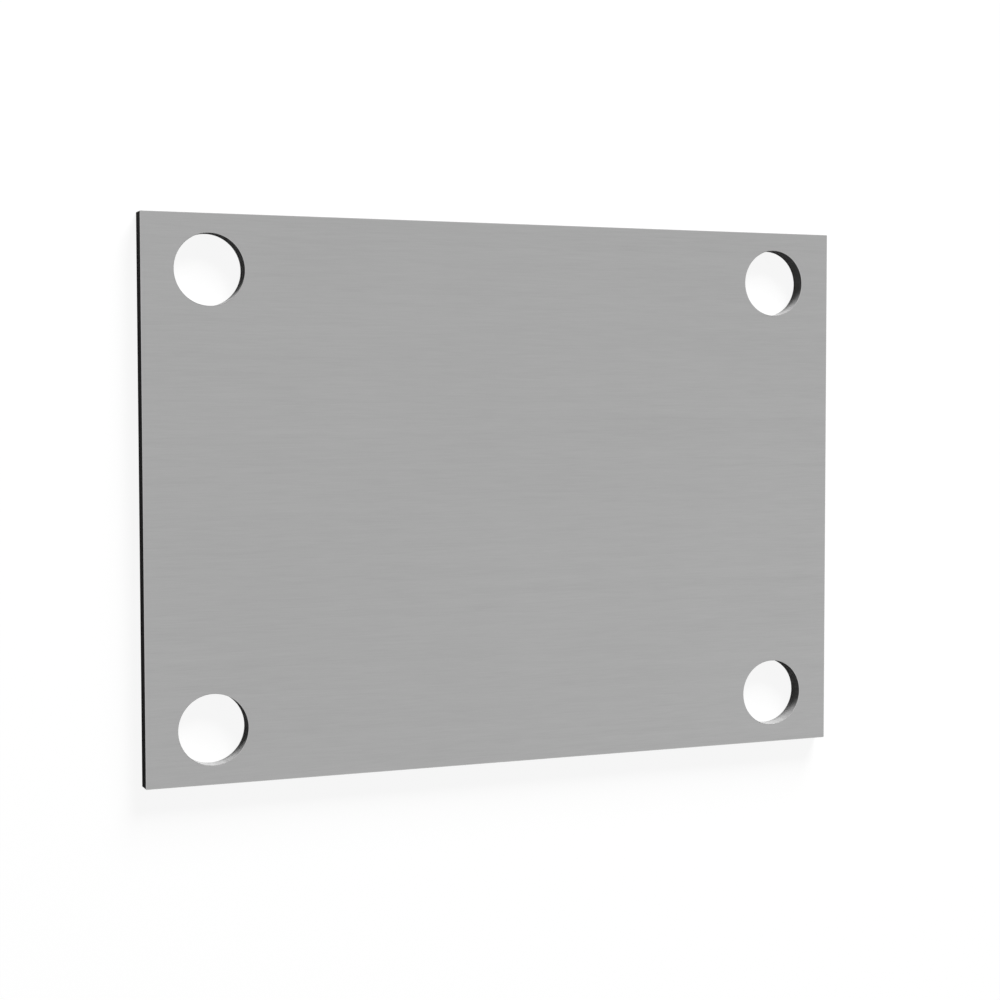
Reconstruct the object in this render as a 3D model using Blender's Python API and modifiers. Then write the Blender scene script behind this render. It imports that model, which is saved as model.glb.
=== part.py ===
"""Flat rectangular cover plate with a round bolt hole near each corner.

Metres, +Z up. The plate lies on its back face: the origin is the centre of that face,
+X runs along the long edges and +Y along the short ones. The plate is one piece, cut
from flat sheet, and every cut edge is deburred to a small chamfer.
"""

import math

import bpy

MM = 0.001

# Driving dimensions of the sheet
PLATE_LENGTH = 130 * MM
PLATE_WIDTH = 95 * MM
SHEET_THICKNESS = 3 * MM

# Bolt holes, placed by the distance from a hole's centre to the two nearest edges
HOLE_DIAMETER = 12 * MM
HOLE_TO_SHORT_EDGE = 11.5 * MM
HOLE_TO_LONG_EDGE = 9.25 * MM

# Chamfer that deburring leaves along the outline and both rims of each hole
EDGE_BREAK = 0.1 * MM

# How far a hole cutter runs past each face of the sheet
CUT_OVERRUN = 2 * MM

# A round hole is drawn with this many sides, whose corners lie on the true circle
HOLE_SIDES = 96

# Only edges that turn by more than this are deburred, so the hole's walls stay round
SHARP_EDGE_ANGLE = math.radians(30)

# Satin mill-finish steel
STEEL_COLOUR = (0.386, 0.386, 0.386, 1.0)
STEEL_ROUGHNESS = 0.5
STEEL_METALLIC = 1.0


def clear_scene():
    """Remove whatever the startup file holds."""
    for obj in list(bpy.data.objects):
        bpy.data.objects.remove(obj, do_unlink=True)


def new_collection(name):
    """Make a collection in the scene and return it."""
    collection = bpy.data.collections.new(name)
    bpy.context.scene.collection.children.link(collection)
    return collection


def move_to(obj, collection):
    """Put an object in one collection only."""
    for old in list(obj.users_collection):
        old.objects.unlink(obj)
    collection.objects.link(obj)


def steel_material():
    """Neutral grey steel for the whole plate."""
    material = bpy.data.materials.new("sheet_steel")
    material.use_nodes = True
    shader = material.node_tree.nodes["Principled BSDF"]
    shader.inputs["Base Color"].default_value = STEEL_COLOUR
    shader.inputs["Roughness"].default_value = STEEL_ROUGHNESS
    shader.inputs["Metallic"].default_value = STEEL_METALLIC
    return material


def sheet_blank(name):
    """The rectangle of sheet, with its back face on the ground plane."""
    bpy.ops.mesh.primitive_cube_add(size=1, location=(0, 0, SHEET_THICKNESS / 2))
    blank = bpy.context.object
    blank.name = name
    blank.data.name = name
    blank.scale = (PLATE_LENGTH, PLATE_WIDTH, SHEET_THICKNESS)
    bpy.ops.object.transform_apply(location=False, rotation=False, scale=True)
    blank.data.shade_smooth()
    return blank


def hole_centres():
    """Name and centre of each bolt hole, as seen from the front with +Y upwards."""
    x = PLATE_LENGTH / 2 - HOLE_TO_SHORT_EDGE
    y = PLATE_WIDTH / 2 - HOLE_TO_LONG_EDGE
    return {
        "upper_left": (-x, y),
        "upper_right": (x, y),
        "lower_left": (-x, -y),
        "lower_right": (x, -y),
    }


def hole_cutter(name, x, y):
    """A cylinder through the sheet, kept out of renders."""
    bpy.ops.mesh.primitive_cylinder_add(
        vertices=HOLE_SIDES,
        radius=HOLE_DIAMETER / 2,
        depth=SHEET_THICKNESS + 2 * CUT_OVERRUN,
        location=(x, y, SHEET_THICKNESS / 2),
    )
    cutter = bpy.context.object
    cutter.name = f"{name}_hole_cutter"
    cutter.data.shade_smooth()
    cutter.hide_render = True
    cutter.display_type = "WIRE"
    return cutter


def cut_hole(plate, cutter):
    """Cut one bolt hole through the plate."""
    cut = plate.modifiers.new(cutter.name, "BOOLEAN")
    cut.operation = "DIFFERENCE"
    cut.solver = "EXACT"
    cut.object = cutter


def deburr(plate):
    """Break every sharp edge of the cut plate with a flat chamfer."""
    chamfer = plate.modifiers.new("deburr", "BEVEL")
    chamfer.limit_method = "ANGLE"
    chamfer.angle_limit = SHARP_EDGE_ANGLE
    chamfer.offset_type = "OFFSET"
    chamfer.width = EDGE_BREAK
    chamfer.segments = 1
    chamfer.use_clamp_overlap = False
    chamfer.loop_slide = False
    chamfer.harden_normals = True


def build():
    """Make the cover plate."""
    clear_scene()
    parts = new_collection("cover_plate")
    cutters = new_collection("cutters")

    plate = sheet_blank("cover_plate")
    move_to(plate, parts)
    plate.data.materials.append(steel_material())

    for name, (x, y) in hole_centres().items():
        cutter = hole_cutter(name, x, y)
        move_to(cutter, cutters)
        cut_hole(plate, cutter)
    deburr(plate)


build()
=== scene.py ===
"""Looks of a flat rectangular cover plate, lying on its back face on a pale studio floor.

The plate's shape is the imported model's. This script gives it its steel finish, and makes
the floor, the light and the camera. Metres, +Z up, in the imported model's own frame.
"""

import math

import bmesh
import bpy
from mathutils import Matrix, Vector


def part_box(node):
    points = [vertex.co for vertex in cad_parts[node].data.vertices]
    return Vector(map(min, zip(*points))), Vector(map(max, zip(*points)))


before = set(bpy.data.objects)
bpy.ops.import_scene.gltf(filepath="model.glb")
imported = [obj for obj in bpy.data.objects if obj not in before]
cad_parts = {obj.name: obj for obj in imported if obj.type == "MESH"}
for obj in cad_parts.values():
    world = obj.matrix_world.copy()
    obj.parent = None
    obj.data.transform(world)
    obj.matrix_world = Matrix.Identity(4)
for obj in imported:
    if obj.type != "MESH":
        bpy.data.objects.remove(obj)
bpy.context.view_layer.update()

MM = 0.001
MICRON = 0.000001

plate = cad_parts["cover_plate"]
plate_low, plate_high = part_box("cover_plate")
SHEET_THICKNESS = plate_high.z - plate_low.z
FRONT_FACE_Z = plate_high.z
MID_SHEET_Z = (plate_low.z + plate_high.z) / 2

# Width of the chamfer along the plate's edges and hole rims
EDGE_BREAK = 0.1 * MM

# Width of the band in which one finish gives way to the next
FINISH_EDGE = 0.02 * MM

# Faces that meet at less than this are shaded as one round surface
ROUND_ANGLE = math.radians(30)

# Corners closer together than this are joined for that shading
WELD_DISTANCE = 1 * MICRON

# The picture's camera: turned left from square on, tipped up, rolled, then slid in its own frame
CAMERA_TURN = math.radians(22.608)
CAMERA_TIP = math.radians(2.873)
CAMERA_ROLL = math.radians(0.096)
CAMERA_DISTANCE = 345.45 * MM
CAMERA_SLIDE_LEFT = 1.57 * MM
CAMERA_SLIDE_DOWN = 0.97 * MM
CAMERA_LENS_MM = 70.51
CAMERA_SENSOR_MM = 36
CAMERA_NEAR = 10 * MM
CAMERA_FAR = 20.0

# Rolled steel face: linear grey and roughness, and how far the grain moves each either way
STEEL_GREY = 0.393
STEEL_GRAIN_SHARE = 0.09
STEEL_ROUGHNESS = 0.43
STEEL_ROUGHNESS_SPREAD = 0.08

# Weight of the other patterns in that tone and roughness, where the grain's own is 1
HAIRLINE_SHARE = 0.7
LANE_SHARE = 0.35
PIT_SHARE = 0.5
CLOUD_SHARE = 0.3

# What each pattern gives to the steel's relief
GRAIN_RELIEF_SHARE = 0.5
HAIRLINE_RELIEF_SHARE = 0.3
PIT_RELIEF_SHARE = 0.2

# Bare metal of the deburred edge
CHAMFER_GREY = 0.48
CHAMFER_ROUGHNESS = 0.36

# Matt oxide that cutting leaves on the walls, with no gloss of its own
CUT_GREY = 0.33
CUT_SPREAD_SHARE = 0.22
CUT_ROUGHNESS = 0.75
CUT_SPECULAR = 0.0

# Size of each pattern's marks along X, Y and Z
GRAIN_SIZE = (5 * MM, 0.14 * MM, 0.14 * MM)
HAIRLINE_SIZE = (9 * MM, 0.05 * MM, 0.05 * MM)
LANE_SIZE = (90 * MM, 1.6 * MM, 1.6 * MM)
PIT_SIZE = (0.09 * MM, 0.09 * MM, 0.09 * MM)
CLOUD_SIZE = (32 * MM, 32 * MM, 32 * MM)
STRIATION_SIZE = (0.28 * MM, 0.28 * MM, 6 * MM)

# Height of the relief on the rolled faces and on the cut walls
ROLLED_HEIGHT = 1.8 * MICRON
STRIATION_HEIGHT = 11 * MICRON

# Layers of finer noise within a pattern
PLAIN_DETAIL = 1.0
MIXED_DETAIL = 2.0
GRAIN_DETAIL = 3.0

# Noise runs from 0 to 1 about this value
NOISE_MIDDLE = 0.5

# Floor: its own grey, and the share of the studio light above which it looks white
FLOOR_SIZE = 4.0
FLOOR_GREY = 0.1
FLOOR_WHITE_LIGHT = 0.85
FLOOR_CLEARANCE = 0.02 * MM

# Between these distances from the plate's middle the floor's grey gives way to plain white
FLOOR_GREY_RADIUS = 0.09
FLOOR_WHITE_RADIUS = 0.18

# Surroundings: their colour, and the light they give to matt surfaces as a share of white
WHITE = (1.0, 1.0, 1.0, 1.0)
SURROUND_LEVEL = 0.03

# Main soft light, low beyond the plate's upper long edge: place, face width and share of white
KEY_PLACE = (0.37, 1.04, 0.46)
KEY_SIZE = 0.5
KEY_LEVEL = 0.98

# Weak soft light from the right, which also shows as a sheen on the steel
SIDE_PLACE = (1.08, -0.36, 0.38)
SIDE_SIZE = 0.4
SIDE_LEVEL = 0.026


def add_node(tree, kind, **settings):
    """A new node with the given settings."""
    made = tree.nodes.new(kind)
    for name, value in settings.items():
        setattr(made, name, value)
    return made


def feed(tree, target, source):
    """Give an input socket a fixed value or another node's output."""
    if isinstance(source, bpy.types.NodeSocket):
        tree.links.new(source, target)
    else:
        target.default_value = source


def arithmetic(tree, operation, *values):
    """The result of one Math node."""
    made = add_node(tree, "ShaderNodeMath", operation=operation)
    for socket, value in zip(made.inputs, values):
        feed(tree, socket, value)
    return made.outputs[0]


def blend_numbers(tree, share, first, second):
    """first where share is 0 and second where it is 1."""
    made = add_node(tree, "ShaderNodeMix", data_type="FLOAT")
    feed(tree, made.inputs[0], share)
    feed(tree, made.inputs[2], first)
    feed(tree, made.inputs[3], second)
    return made.outputs[0]


def ramp(tree, value, start, end, to_start=0.0, to_end=1.0):
    """value's place between start and end, smoothly, as a number from to_start to to_end."""
    made = add_node(tree, "ShaderNodeMapRange", interpolation_type="SMOOTHSTEP")
    feed(tree, made.inputs["Value"], value)
    feed(tree, made.inputs["From Min"], start)
    feed(tree, made.inputs["From Max"], end)
    feed(tree, made.inputs["To Min"], to_start)
    feed(tree, made.inputs["To Max"], to_end)
    return made.outputs["Result"]


def grey_colour(tree, grey):
    """The colour whose red, green and blue are one number."""
    made = add_node(tree, "ShaderNodeCombineColor")
    for socket in made.inputs:
        feed(tree, socket, grey)
    return made.outputs[0]


def streaks(tree, place, size, detail):
    """Noise from -1 to 1, whose features have the given size along X, Y and Z."""
    stretched = add_node(tree, "ShaderNodeVectorMath", operation="DIVIDE")
    feed(tree, stretched.inputs[0], place)
    feed(tree, stretched.inputs[1], size)
    noise = add_node(tree, "ShaderNodeTexNoise", noise_dimensions="3D")
    feed(tree, noise.inputs["Vector"], stretched.outputs[0])
    feed(tree, noise.inputs["Scale"], 1.0)
    feed(tree, noise.inputs["Detail"], detail)
    centred = arithmetic(tree, "SUBTRACT", noise.outputs[0], NOISE_MIDDLE)
    return arithmetic(tree, "DIVIDE", centred, NOISE_MIDDLE)


def weighted_sum(tree, *parts):
    """Sum of (output, weight) pairs."""
    total = 0.0
    for source, weight in parts:
        total = arithmetic(tree, "MULTIPLY_ADD", source, weight, total)
    return total


def varied(tree, middle, spread, pattern):
    """The middle value, moved up and down by spread times a pattern."""
    return arithmetic(tree, "MULTIPLY_ADD", pattern, spread, middle)


def new_tree(name):
    """A material with an empty node tree and its output."""
    material = bpy.data.materials.new(name)
    material.use_nodes = True
    tree = material.node_tree
    tree.nodes.clear()
    return material, tree, add_node(tree, "ShaderNodeOutputMaterial")


def surface_zones(tree, place):
    """1 on a cut wall and 1 on a rolled face, each 0 elsewhere; a chamfer has 0 for both."""
    axes = add_node(tree, "ShaderNodeSeparateXYZ")
    feed(tree, axes.inputs[0], place)
    from_middle = arithmetic(tree, "SUBTRACT", axes.outputs["Z"], MID_SHEET_Z)
    from_middle = arithmetic(tree, "ABSOLUTE", from_middle)
    surface = SHEET_THICKNESS / 2
    wall_end = surface - EDGE_BREAK
    wall = ramp(tree, from_middle, wall_end, wall_end + FINISH_EDGE, 1.0, 0.0)
    face = ramp(tree, from_middle, surface - FINISH_EDGE, surface)
    return wall, face


def rolled_patterns(tree, place):
    """The marks of rolling on a face, as they show in its tone and in its relief."""
    grain = streaks(tree, place, GRAIN_SIZE, GRAIN_DETAIL)
    hairlines = streaks(tree, place, HAIRLINE_SIZE, PLAIN_DETAIL)
    lanes = streaks(tree, place, LANE_SIZE, PLAIN_DETAIL)
    pits = streaks(tree, place, PIT_SIZE, PLAIN_DETAIL)
    clouds = streaks(tree, place, CLOUD_SIZE, MIXED_DETAIL)
    tone = weighted_sum(
        tree,
        (grain, 1.0),
        (hairlines, HAIRLINE_SHARE),
        (lanes, LANE_SHARE),
        (pits, PIT_SHARE),
        (clouds, CLOUD_SHARE),
    )
    relief = weighted_sum(
        tree,
        (grain, GRAIN_RELIEF_SHARE),
        (hairlines, HAIRLINE_RELIEF_SHARE),
        (pits, PIT_RELIEF_SHARE),
    )
    return tone, relief


def steel_material():
    """Rolled steel on the faces, bare metal on the chamfers and matt oxide on the walls."""
    material, tree, output = new_tree("rolled_sheet_steel")
    shader = add_node(tree, "ShaderNodeBsdfPrincipled")
    feed(tree, output.inputs["Surface"], shader.outputs[0])
    feed(tree, shader.inputs["Specular IOR Level"], CUT_SPECULAR)

    place = add_node(tree, "ShaderNodeTexCoord").outputs["Object"]
    wall, face = surface_zones(tree, place)
    tone, relief = rolled_patterns(tree, place)
    striations = streaks(tree, place, STRIATION_SIZE, MIXED_DETAIL)

    def by_zone(on_face, on_chamfer, on_wall):
        metal = blend_numbers(tree, face, on_chamfer, on_face)
        return blend_numbers(tree, wall, metal, on_wall)

    steel = varied(tree, STEEL_GREY, STEEL_GREY * STEEL_GRAIN_SHARE, tone)
    cut = varied(tree, CUT_GREY, CUT_GREY * CUT_SPREAD_SHARE, striations)
    grey = by_zone(steel, CHAMFER_GREY, cut)
    feed(tree, shader.inputs["Base Color"], grey_colour(tree, grey))

    feed(tree, shader.inputs["Metallic"], arithmetic(tree, "SUBTRACT", 1.0, wall))

    steel_rough = varied(tree, STEEL_ROUGHNESS, STEEL_ROUGHNESS_SPREAD, tone)
    rough = by_zone(steel_rough, CHAMFER_ROUGHNESS, CUT_ROUGHNESS)
    feed(tree, shader.inputs["Roughness"], rough)

    rolled = arithmetic(tree, "MULTIPLY", relief, ROLLED_HEIGHT / STRIATION_HEIGHT)
    bump = add_node(tree, "ShaderNodeBump")
    feed(tree, bump.inputs["Distance"], STRIATION_HEIGHT)
    feed(tree, bump.inputs["Height"], blend_numbers(tree, wall, rolled, striations))
    feed(tree, shader.inputs["Normal"], bump.outputs[0])
    return material


def round_walls(obj):
    """Shade across shallow edges, so that the hole walls look round and the rims sharp."""
    group = bpy.data.node_groups.new("round_walls", "GeometryNodeTree")
    group.interface.new_socket("Geometry", in_out="INPUT", socket_type="NodeSocketGeometry")
    group.interface.new_socket("Geometry", in_out="OUTPUT", socket_type="NodeSocketGeometry")
    start = add_node(group, "NodeGroupInput")
    end = add_node(group, "NodeGroupOutput")

    weld = add_node(group, "GeometryNodeMergeByDistance")
    feed(group, weld.inputs["Distance"], WELD_DISTANCE)
    plain = add_node(group, "GeometryNodeRemoveAttribute")
    feed(group, plain.inputs["Name"], "custom_normal")
    smooth = add_node(group, "GeometryNodeSetShadeSmooth", domain="FACE")
    angle = add_node(group, "GeometryNodeInputMeshEdgeAngle")
    sharp = add_node(group, "FunctionNodeCompare", data_type="FLOAT", operation="GREATER_THAN")
    feed(group, sharp.inputs[0], angle.outputs["Unsigned Angle"])
    feed(group, sharp.inputs[1], ROUND_ANGLE)
    rims = add_node(group, "GeometryNodeSetShadeSmooth", domain="EDGE")
    feed(group, rims.inputs["Shade Smooth"], False)
    feed(group, rims.inputs["Selection"], sharp.outputs[0])

    chain = [start, weld, plain, smooth, rims, end]
    for first, second in zip(chain, chain[1:]):
        feed(group, second.inputs[0], first.outputs[0])
    obj.modifiers.new("round_walls", "NODES").node_group = group


def sight_rays(tree):
    """1 for rays that see a surface directly, in a reflection or through glass, else 0."""
    path = add_node(tree, "ShaderNodeLightPath")
    seen = arithmetic(
        tree, "MAXIMUM", path.outputs["Is Camera Ray"], path.outputs["Is Glossy Ray"]
    )
    return arithmetic(tree, "MAXIMUM", seen, path.outputs["Is Transmission Ray"])


def make_surroundings():
    """A white studio to the eye and in reflections, and a soft low light on matt surfaces."""
    world = bpy.data.worlds.new("studio")
    bpy.context.scene.world = world
    world.use_nodes = True
    tree = world.node_tree
    background = tree.nodes["Background"]
    feed(tree, background.inputs["Color"], WHITE)
    strength = blend_numbers(tree, sight_rays(tree), SURROUND_LEVEL, 1.0)
    feed(tree, background.inputs["Strength"], strength)


def floor_material():
    """Pale grey where the plate's shadow falls, and white to the eye where it is well lit."""
    material, tree, output = new_tree("studio_floor")
    place = add_node(tree, "ShaderNodeTexCoord").outputs["Object"]
    reach = add_node(tree, "ShaderNodeVectorMath", operation="LENGTH")
    feed(tree, reach.inputs[0], place)
    grey = ramp(
        tree, reach.outputs["Value"], FLOOR_GREY_RADIUS, FLOOR_WHITE_RADIUS, FLOOR_GREY, 0.0
    )
    matt = add_node(tree, "ShaderNodeBsdfDiffuse")
    feed(tree, matt.inputs["Color"], grey_colour(tree, grey))
    lit = arithmetic(tree, "MULTIPLY", grey, FLOOR_WHITE_LIGHT)
    missing = arithmetic(tree, "SUBTRACT", 1.0, lit)
    glow = add_node(tree, "ShaderNodeEmission")
    strength = arithmetic(tree, "MULTIPLY", missing, sight_rays(tree))
    feed(tree, glow.inputs["Strength"], strength)
    both = add_node(tree, "ShaderNodeAddShader")
    feed(tree, both.inputs[0], matt.outputs[0])
    feed(tree, both.inputs[1], glow.outputs[0])
    feed(tree, output.inputs["Surface"], both.outputs[0])
    return material


def make_floor():
    """A level pale floor just under the plate."""
    mesh = bpy.data.meshes.new("floor")
    shape = bmesh.new()
    bmesh.ops.create_grid(shape, x_segments=1, y_segments=1, size=FLOOR_SIZE / 2)
    shape.to_mesh(mesh)
    shape.free()
    floor = bpy.data.objects.new("floor", mesh)
    floor.location.z = plate_low.z - FLOOR_CLEARANCE
    mesh.materials.append(floor_material())
    bpy.context.scene.collection.objects.link(floor)


def make_softbox(name, place, size, level, in_reflections):
    """A square soft light that faces the plate."""
    lamp = bpy.data.lights.new(name, "AREA")
    lamp.shape = "SQUARE"
    lamp.size = size
    reach = Vector(place)
    slant = reach.z / reach.length

    # The power that brings a white card in the plate's place to the level
    lamp.energy = level * (math.pi * reach.length) ** 2 / slant
    box = bpy.data.objects.new(name, lamp)
    box.location = place
    box.rotation_mode = "QUATERNION"
    box.rotation_quaternion = (-reach).to_track_quat("-Z", "Y")
    box.visible_camera = False
    box.visible_glossy = in_reflections
    bpy.context.scene.collection.objects.link(box)


def make_camera():
    """The picture's view of the plate."""
    lens = bpy.data.cameras.new("camera")
    lens.sensor_width = CAMERA_SENSOR_MM
    lens.lens = CAMERA_LENS_MM
    lens.clip_start = CAMERA_NEAR
    lens.clip_end = CAMERA_FAR
    turn = (
        Matrix.Rotation(-CAMERA_TURN, 3, "Y")
        @ Matrix.Rotation(-CAMERA_TIP, 3, "X")
        @ Matrix.Rotation(-CAMERA_ROLL, 3, "Z")
    )
    back = Vector((-CAMERA_SLIDE_LEFT, -CAMERA_SLIDE_DOWN, CAMERA_DISTANCE))
    camera = bpy.data.objects.new("camera", lens)
    camera.rotation_mode = "QUATERNION"
    camera.rotation_quaternion = turn.to_quaternion()
    camera.location = Vector((0.0, 0.0, FRONT_FACE_Z)) + turn @ back
    bpy.context.scene.collection.objects.link(camera)
    bpy.context.scene.camera = camera


def dress_plate():
    """Give the plate its finish."""
    plate.material_slots[0].material = steel_material()
    round_walls(plate)


bpy.context.scene.view_settings.view_transform = "Standard"
make_camera()
make_floor()
make_surroundings()
make_softbox("key_softbox", KEY_PLACE, KEY_SIZE, KEY_LEVEL, in_reflections=False)
make_softbox("side_softbox", SIDE_PLACE, SIDE_SIZE, SIDE_LEVEL, in_reflections=True)
dress_plate()
